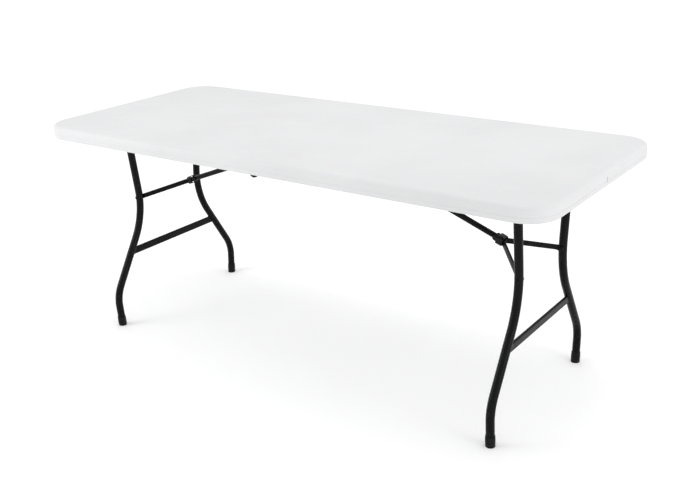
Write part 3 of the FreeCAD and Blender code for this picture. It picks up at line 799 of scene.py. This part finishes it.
plug = make_plug(*PLUG_HEAD)
wide_plug = make_plug(*WIDE_HEAD)
AXLE_Z, AXLE_END = middle("right_axle").z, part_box("right_axle_plug_back")[1].y
CENTRE_Z, CENTRE_END = middle("centre_tube").z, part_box("centre_tube")[1].y + WIDE_HEAD[1]
rows = [("centre_tube_plug", 0.0, CENTRE_END, CENTRE_Z)]
rows += [(end_name + "_axle_plug", end * END_X, AXLE_END, AXLE_Z) for end_name, end in ENDS]
for label, x, reach, z in rows:
    for depth_name, depth in DEPTHS:
        matrix = Matrix.Translation((x, depth * reach, z)) @ Matrix.Diagonal((1, depth, 1, 1))
        piece = copy_to(plug if x else wide_plug, "%s_%s_cap" % (label, depth_name), matrix)
        body = label.split("_")[0] + "_leg_frame" if x else "top"
        fit(piece, "black_plastic", body, ["%s_%s" % (label, depth_name)])
discard(wide_plug)
print("plugs:", 2 * len(rows))

# %% [markdown]
# ## The brace's own frame
# Each brace runs downhill from the bracket to the legs. Its parts are easiest to model flat, with
# the hinge at the origin and the run along X, and then turned down to the brace's slope.

# %% Brace frame
HINGE = middle("right_hinge_rivet")
LINK_TOP = middle("right_link_pin")
LEG_PIVOT = middle("right_leg_rivets")
SLOPE = math.atan2(LINK_TOP.z - HINGE.z, HINGE.x - LINK_TOP.x)
LINK_RADIUS = 0.00875
LINK_BEYOND = 0.031
YOKE_LENGTH = (LEG_PIVOT - HINGE).length


def brace_matrix(end):
    place = Matrix.Translation(HINGE) @ Matrix.Rotation(SLOPE, 4, "Y")
    return Matrix.Rotation(0 if end > 0 else math.pi, 4, "Z") @ place


slim = LINK_RADIUS / TUBE
for end_name, end in ENDS:
    quarter_turn = Matrix.Rotation(math.radians(-90), 4, "Z")
    turn_along = Matrix.Translation((LINK_BEYOND, 0, 0)) @ quarter_turn
    matrix = brace_matrix(end) @ turn_along @ Matrix.Diagonal((slim, 1, slim, 1))
    piece = copy_to(plug, end_name + "_upper_link_plug_cap", matrix)
    fit(piece, "black_plastic", end_name + "_link", [end_name + "_upper_link_plug"])
discard(plug)
print("brace slope", round(math.degrees(SLOPE), 1), "degrees")

# %% [markdown]
# ## Pins and rivets
# Every pivot is a headed steel pin: a shank through the tubes and a domed head that was pressed
# over it, with the small pit the press tool leaves. One shank is widened at one or both ends,
# pushed out and rounded. The pins at the legs go in before painting, so they come out black.

# %% Pins and rivets
SHANK = 0.0035
RIVET_HEAD = 0.007
RIVET_THICK = 0.0025


def pick_end(piece, side, y):
    """Pick the flat end face at y that looks along +Y or -Y."""
    pick(piece, "faces", lambda f: f.normal.y * side > FACING
         and close_to(f.calc_center_median().y, y))


def make_pin(name, x, z, low, high, headed=(True, True)):
    """A pin along Y from low to high, with domed heads beyond the headed ends."""
    pin = rod_along_y(name, SHANK, (high - low) / 2, x, z, (low + high) / 2, 28)
    for wanted, side, end_y in ((headed[0], -1, low), (headed[1], 1, high)):
        if not wanted:
            continue
        edit(pin)
        pick_end(pin, side, end_y)
        bpy.ops.mesh.extrude_region_move(TRANSFORM_OT_translate={"value": (0, 0, 0)})
        bpy.ops.transform.resize(value=(RIVET_HEAD / SHANK, 1, RIVET_HEAD / SHANK))
        step = side * RIVET_THICK
        bpy.ops.mesh.extrude_region_move(TRANSFORM_OT_translate={"value": (0, step, 0)})
        outer = end_y + step
        bpy.ops.mesh.select_mode(type="EDGE")
        pick(pin, "edges", lambda e: all(close_to(v.co.y, outer) for v in e.verts))
        bevel_picked(2.1 * MM, 5)
        bpy.ops.mesh.select_mode(type="FACE")
        pick_end(pin, side, outer)
        bpy.ops.mesh.inset(thickness=2.6 * MM, depth=-0.5 * MM)
    tidy_normals(pin)
    smooth(pin, 42)
    return pin


LEG_OUTSIDE = 0.15812
ARM_INSIDE, ARM_OUTSIDE = 0.12842, 0.13242
LINK_GRIP, HINGE_GRIP = 0.0115, 0.01325
SLIM_GAP = 0.0003
for end_name, end in ENDS:
    pin = make_pin(end_name + "_link_pivot", end * LINK_TOP.x, LINK_TOP.z, -LINK_GRIP, LINK_GRIP)
    fit(pin, "zinc_steel", "top", [end_name + "_link_pin"])
    pin = make_pin(end_name + "_hinge_pin", end * HINGE.x, HINGE.z, -HINGE_GRIP, HINGE_GRIP)
    fit(pin, "ring_steel", end_name + "_link", [end_name + "_hinge_rivet"])
    outer, inner = [], []
    for depth in (-1, 1):
        low, high = sorted((depth * (ARM_OUTSIDE + SLIM_GAP), depth * LEG_OUTSIDE))
        outer.append(make_pin("pin", end * END_X, LEG_PIVOT.z, low, high, (depth < 0, depth > 0)))
        low, high = sorted((depth * ARM_INSIDE, depth * (ARM_OUTSIDE - SLIM_GAP)))
        inner.append(make_pin("pin", end * END_X, LEG_PIVOT.z, low, high, (depth > 0, depth < 0)))
    fit(join(outer, end_name + "_leg_pins"), "black_paint", end_name + "_leg_frame",
        [end_name + "_leg_rivets"])
    fit(join(inner, end_name + "_yoke_pins"), "black_paint", end_name + "_yoke",
        [end_name + "_yoke_rivets"])
print("pins: 6 a side")

# %% [markdown]
# ## Yoke arms
# Two flat bars on edge lie beside the link at the hinge, then splay out to meet the legs. Flat bar
# is bent cold in a press, so the bends are soft and the ends are simply rounded off. The bar is
# extruded from piece to piece, and the face at each bend is set on the mitre so its thickness
# stays true. The pivot holes are drilled last.

# %% Yoke arms
ARM_TALL = 0.016
ARM_THICK = 0.004
ARM_NEAR = 0.01125
ARM_BEND = (0.030, 0.1414)
ARM_BEND_ROUND = 0.007
ARM_EDGE = 0.0005
DRILL_PLAY = 0.0001


def shift(piece, test, delta):
    """Move the corner points that pass a test."""
    pick(piece, "verts", test)
    bpy.ops.transform.translate(value=delta)


def make_arm():
    """The arm on the +Y side, with the hinge at the origin and the run along X."""
    far = (ARM_INSIDE + ARM_OUTSIDE) / 2
    arm = block("arm", (-ARM_TALL / 2, ARM_NEAR - ARM_THICK / 2, -ARM_TALL / 2),
                (ARM_BEND[0], ARM_NEAR + ARM_THICK / 2, ARM_TALL / 2))
    run = Vector((ARM_BEND[1] - ARM_BEND[0], far - ARM_NEAR, 0))
    mitre = ARM_THICK / 2 * math.tan(math.atan2(run.y, run.x) / 2)
    edit(arm, "VERT")
    shift(arm, lambda v: v.co.x > 0 and v.co.y < ARM_NEAR, (mitre, 0, 0))
    shift(arm, lambda v: v.co.x > 0 and v.co.y > ARM_NEAR, (-mitre, 0, 0))
    bpy.ops.mesh.select_mode(type="FACE")
    pick(arm, "faces", lambda f: f.calc_center_median().x > ARM_BEND[0] - MM)
    bpy.ops.mesh.extrude_region_move(TRANSFORM_OT_translate={"value": run})
    tail = YOKE_LENGTH + ARM_TALL / 2 - ARM_BEND[1]
    bpy.ops.mesh.extrude_region_move(TRANSFORM_OT_translate={"value": (tail, 0, 0)})
    bpy.ops.mesh.select_mode(type="VERT")
    shift(arm, lambda v: v.co.x > ARM_BEND[1] + 5 * MM and v.co.y < far, (-mitre, 0, 0))
    shift(arm, lambda v: v.co.x > ARM_BEND[1] + 5 * MM and v.co.y > far, (mitre, 0, 0))
    bpy.ops.mesh.select_mode(type="EDGE")
    pick(arm, "edges", lambda e: abs(edge_levels(e)[0] - edge_levels(e)[1]) > 10 * MM
         and any(abs(e.verts[0].co.x - bend) < 3 * MM for bend in ARM_BEND))
    bevel_picked(ARM_BEND_ROUND, 5)
    ends = (-ARM_TALL / 2, YOKE_LENGTH + ARM_TALL / 2)
    pick(arm, "edges", lambda e: close_to(*edge_levels(e))
         and any(all(close_to(v.co.x, end_x) for v in e.verts) for end_x in ends))
    bevel_picked(ARM_TALL / 2 - 0.05 * MM, 8)
    tidy_normals(arm)
    soften(arm, ARM_EDGE, 2, 50)
    for x in (0, YOKE_LENGTH):
        drill = rod_along_y("drill", SHANK + DRILL_PLAY, ARM_OUTSIDE, x, 0, ARM_OUTSIDE, 28)
        modify(arm, "BOOLEAN", operation="DIFFERENCE", object=drill, solver="EXACT")
        discard(drill)
    tidy_normals(arm)
    smooth(arm, 40)
    return arm


arm = make_arm()
for end_name, end in ENDS:
    for depth_name, depth in DEPTHS:
        label = "%s_%s_yoke_arm" % (end_name, depth_name)
        mirror = Matrix.Diagonal((1, end * depth, 1, 1))
        piece = copy_to(arm, label + "_bar", brace_matrix(end) @ mirror)
        fit(piece, "black_paint", end_name + "_yoke", [label])
discard(arm)
print("yoke arms: 4")

# %% [markdown]
# ## Locking rings
# When the legs stand open a loose ring drops over the hinge and keeps the brace straight. It is a
# short piece of rounded rectangular tube. The block's long edges are rounded, both end faces are
# inset and bridged into a bore, and the lips are rolled so they don't bite fingers.

# %% Locking rings
RING_LOW, RING_HIGH = 0.007, 0.027
RING_SIZE = (0.038, 0.027)
RING_WALL = 0.0025
RING_CORNER = 0.009
RING_LIP = 0.001


def make_ring():
    ring = block("ring", (RING_LOW, -RING_SIZE[0] / 2, -RING_SIZE[1] / 2),
                 (RING_HIGH, RING_SIZE[0] / 2, RING_SIZE[1] / 2))
    edit(ring, "EDGE")
    pick(ring, "edges", lambda e: abs(e.verts[0].co.x - e.verts[1].co.x) > 10 * MM)
    bevel_picked(RING_CORNER, 8)
    bpy.ops.mesh.select_mode(type="FACE")
    pick(ring, "faces", lambda f: abs(f.normal.x) > FACING)
    bpy.ops.mesh.inset(thickness=RING_WALL, depth=0)
    bpy.ops.mesh.bridge_edge_loops()
    tidy_normals(ring)
    soften(ring, RING_LIP, 3, 50)
    smooth(ring, 40)
    return ring


ring = make_ring()
for end_name, end in ENDS:
    piece = copy_to(ring, end_name + "_lock_ring_sleeve", brace_matrix(end))
    fit(piece, "ring_steel", end_name + "_ring", [end_name + "_lock_ring"])
discard(ring)
print("locking rings: 2")

# %% [markdown]
# ## Saddles
# Pressed straps hold the tubes in their pads. A flat strip is laid out foot first, its free edge is
# carried round the tube in one spin, then out to the second foot; thickness is added last, as if
# the strip were bent over a former.

# %% Saddles
SADDLE_HALF = (0.039, 0.014)
STRAP = 0.002
STRAP_RADIUS = 0.0137
STRAP_CORNER = 0.006
STRAP_EDGE = 0.0004
FOOT_STOP = 0.017
NECK = (0.0152, -0.0016)
SPIN_LOW = -0.0035
SCREW_SHANK = (0.0024, 0.017)
SCREW_SPACING = 0.028


def rod_upright(name, radius, half_length, x):
    let_go()
    bpy.ops.mesh.primitive_cylinder_add(vertices=24, radius=radius, depth=2 * half_length,
                                        location=(x, 0, 0))
    rod = bpy.context.object
    rod.name = name
    return settle(rod)


def extrude_edge(piece, x, delta):
    pick(piece, "edges", lambda e: all(close_to(v.co.x, x) for v in e.verts))
    bpy.ops.mesh.extrude_region_move(TRANSFORM_OT_translate={"value": delta})


def make_saddle():
    """A strap round a tube along Y at the origin, its feet flat just below z = 0."""
    long_half, wide_half = SADDLE_HALF
    spin_x = math.sqrt(STRAP_RADIUS ** 2 - SPIN_LOW ** 2)
    middle = -(long_half + FOOT_STOP) / 2
    let_go()
    bpy.ops.mesh.primitive_plane_add(size=1, location=(middle, 0, -STRAP / 2))
    strap = bpy.context.object
    strap.scale = (long_half - FOOT_STOP, 2 * wide_half, 1)
    settle(strap)
    edit(strap, "EDGE")
    extrude_edge(strap, -FOOT_STOP, (FOOT_STOP - NECK[0], 0, NECK[1] + STRAP / 2))
    extrude_edge(strap, -NECK[0], (NECK[0] - spin_x, 0, SPIN_LOW - NECK[1]))
    pick(strap, "edges", lambda e: all(close_to(v.co.x, -spin_x) for v in e.verts))
    half_turn = math.pi - 2 * math.asin(-SPIN_LOW / STRAP_RADIUS)
    bpy.ops.mesh.spin(steps=18, angle=half_turn, center=(0, 0, 0), axis=(0, 1, 0))
    extrude_edge(strap, spin_x, (NECK[0] - spin_x, 0, NECK[1] - SPIN_LOW))
    extrude_edge(strap, NECK[0], (FOOT_STOP - NECK[0], 0, -NECK[1] - STRAP / 2))
    extrude_edge(strap, FOOT_STOP, (long_half - FOOT_STOP, 0, 0))
    tidy_normals(strap)
    modify(strap, "SOLIDIFY", thickness=STRAP, offset=0)
    edit(strap, "EDGE")
    pick(strap, "edges", lambda e: abs(e.verts[0].co.z - e.verts[1].co.z) > 1.5 * MM
         and all(close_to(abs(v.co.x), long_half) for v in e.verts)
         and close_to(e.verts[0].co.y, e.verts[1].co.y))
    bevel_picked(STRAP_CORNER, 5)
    tidy_normals(strap)
    soften(strap, STRAP_EDGE, 2, 50)
    for side in (-1, 1):
        drill = rod_upright("drill", SCREW_SHANK[0] + DRILL_PLAY, 5 * MM, side * SCREW_SPACING)
        modify(strap, "BOOLEAN", operation="DIFFERENCE", object=drill, solver="EXACT")
        discard(drill)
    tidy_normals(strap)
    smooth(strap, 40)
    return strap


saddle = make_saddle()
for name in saddle_nodes:
    x, y, z = middle(name).x, middle(name).y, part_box(name)[1].z
    piece = copy_to(saddle, name + "_strap", Matrix.Translation((x, y, z)))
    fit(piece, "zinc_steel", "top", [name])
discard(saddle)
print("saddles:", len(saddle_nodes), "faces each", len(piece.data.polygons))

# %% [markdown]
# ## Screws
# Pan-head screws go up through the saddles into the pads. The head is a disc rounded over at its
# rim, with a cross cut by two small wedges. One is made; the rest are copies at their own small
# turns, because no two screws stop at the same angle.

# %% Screws
SCREW_HEAD = (0.0045, 0.0026)
CROSS = (0.0048, 0.0011, 0.0014)
GOLDEN_TURN = 2.39996


def make_screw():
    """A screw pointing up, the underside of its head at z = 0."""
    radius, tall = SCREW_HEAD
    let_go()
    bpy.ops.mesh.primitive_cylinder_add(vertices=24, radius=radius, depth=tall,
                                        location=(0, 0, -tall / 2))
    screw = settle(bpy.context.object)
    edit(screw, "EDGE")
    pick(screw, "edges", lambda e: all(close_to(z, -tall) for z in edge_levels(e)))
    bevel_picked(1.7 * MM, 4)
    bpy.ops.mesh.select_mode(type="FACE")
    pick(screw, "faces", lambda f: f.normal.z > FACING)
    bpy.ops.mesh.inset(thickness=radius - SCREW_SHANK[0], depth=0)
    bpy.ops.mesh.extrude_region_move(TRANSFORM_OT_translate={"value": (0, 0, SCREW_SHANK[1])})
    let_go()
    for long_way in (True, False):
        x, y = (CROSS[0], CROSS[1]) if long_way else (CROSS[1], CROSS[0])
        wedge = block("wedge", (-x / 2, -y / 2, -tall - MM), (x / 2, y / 2, CROSS[2] - tall))
        modify(screw, "BOOLEAN", operation="DIFFERENCE", object=wedge, solver="EXACT")
        discard(wedge)
    tidy_normals(screw)
    smooth(screw, 40)
    return screw


screw = make_screw()
for group_name in ("centre_saddle", "left_saddle", "right_saddle"):
    group = []
    for depth_name, _ in DEPTHS:
        strap = group_name + "_" + depth_name
        seat = Vector((middle(strap).x, middle(strap).y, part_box(strap)[1].z - STRAP))
        for side in (-1, 1):
            place = Matrix.Translation(seat + Vector((side * SCREW_SPACING, 0, 0)))
            turn = Matrix.Rotation(GOLDEN_TURN * len(group) + seat.x, 4, "Z")
            group.append(copy_to(screw, "screw", place @ turn))
    fit(join(group, group_name + "_screw_set"), "zinc_steel", "top", [group_name + "_screws"])
discard(screw)
print("screws: 4 in each of 3 sets")

# %% [markdown]
# ## Beads under the axles
# Legs are welded under the axle. A weld bead is a rope of overlapping drops, painted over with the
# rest. It starts as a fine torus; its stations are lifted one by one to follow the saddle curve
# where two tubes meet, and every other station is swollen a little.

# %% Axle beads
STATIONS = 36
BEAD = 0.0014
SWELL = 1.25
LEG_TOP_Y = 0.16790
LEG_TOP_LEAN = math.radians(5.7)


def start_torus(major, turn=(0, 0, 0)):
    let_go()
    bpy.ops.mesh.primitive_torus_add(major_radius=major, minor_radius=BEAD, major_segments=STATIONS,
                                     minor_segments=8, rotation=turn)
    return settle(bpy.context.object)


def make_axle_bead():
    bead = start_torus(TUBE + 0.3 * MM)
    edit(bead, "VERT")
    for station in range(STATIONS):
        angle = math.tau * station / STATIONS
        out = Vector((math.cos(angle), math.sin(angle), 0))
        pick(bead, "verts", lambda v: Vector((v.co.x, v.co.y, 0)).normalized().dot(out) > 0.999)
        lift = TUBE * (1 - abs(math.sin(angle)))
        bpy.ops.transform.translate(value=(0, 0, lift))
        if station % 2:
            middle = out * TUBE + Vector((0, 0, lift))
            bpy.ops.transform.resize(value=(SWELL,) * 3, center_override=middle)
    tidy_normals(bead)
    smooth(bead, 60)
    return bead


bead = make_axle_bead()
lean = Matrix.Rotation(-LEG_TOP_LEAN, 4, "X")
bead.data.transform(Matrix.Translation((END_X, LEG_TOP_Y, AXLE_Z - TUBE - 0.4 * MM)) @ lean)
for end_name, end in ENDS:
    beads = [copy_to(bead, "bead", end_matrix(end, depth)) for depth in (-1, 1)]
    fit(join(beads, end_name + "_axle_welds"), "black_paint", end_name + "_leg_frame")
discard(bead)
print("axle beads: 4, stations", STATIONS)

# %% [markdown]
# ## Beads at the lower bars
# The flattened bar meets each leg on a slant. The same fine torus is pulled out, top half up and
# bottom half down, into the oval of the bar's end, then leaned to lie along the leg.

# %% Lower bar beads
BAR_Z = middle("right_lower_bar").z
BAR_HALF_THICK = 0.0053
BAR_STRETCH = 0.0100
BAR_MEETS_LEG = 0.1975
LEG_SLANT = math.radians(31.5)

bead = start_torus(BAR_HALF_THICK, (math.radians(90), 0, 0))
edit(bead, "VERT")
for side in (-1, 1):
    shift(bead, lambda v: v.co.z * side > 0.1 * MM, (0, 0, side * BAR_STRETCH))
tidy_normals(bead)
smooth(bead, 60)
slant = Matrix.Rotation(LEG_SLANT, 4, "X")
bead.data.transform(Matrix.Translation((END_X, BAR_MEETS_LEG, BAR_Z)) @ slant)
for end_name, end in ENDS:
    beads = [copy_to(bead, "bead", end_matrix(end, depth)) for depth in (-1, 1)]
    fit(join(beads, end_name + "_bar_welds"), "black_paint", end_name + "_leg_frame")
discard(bead)
print("bar beads: 4")
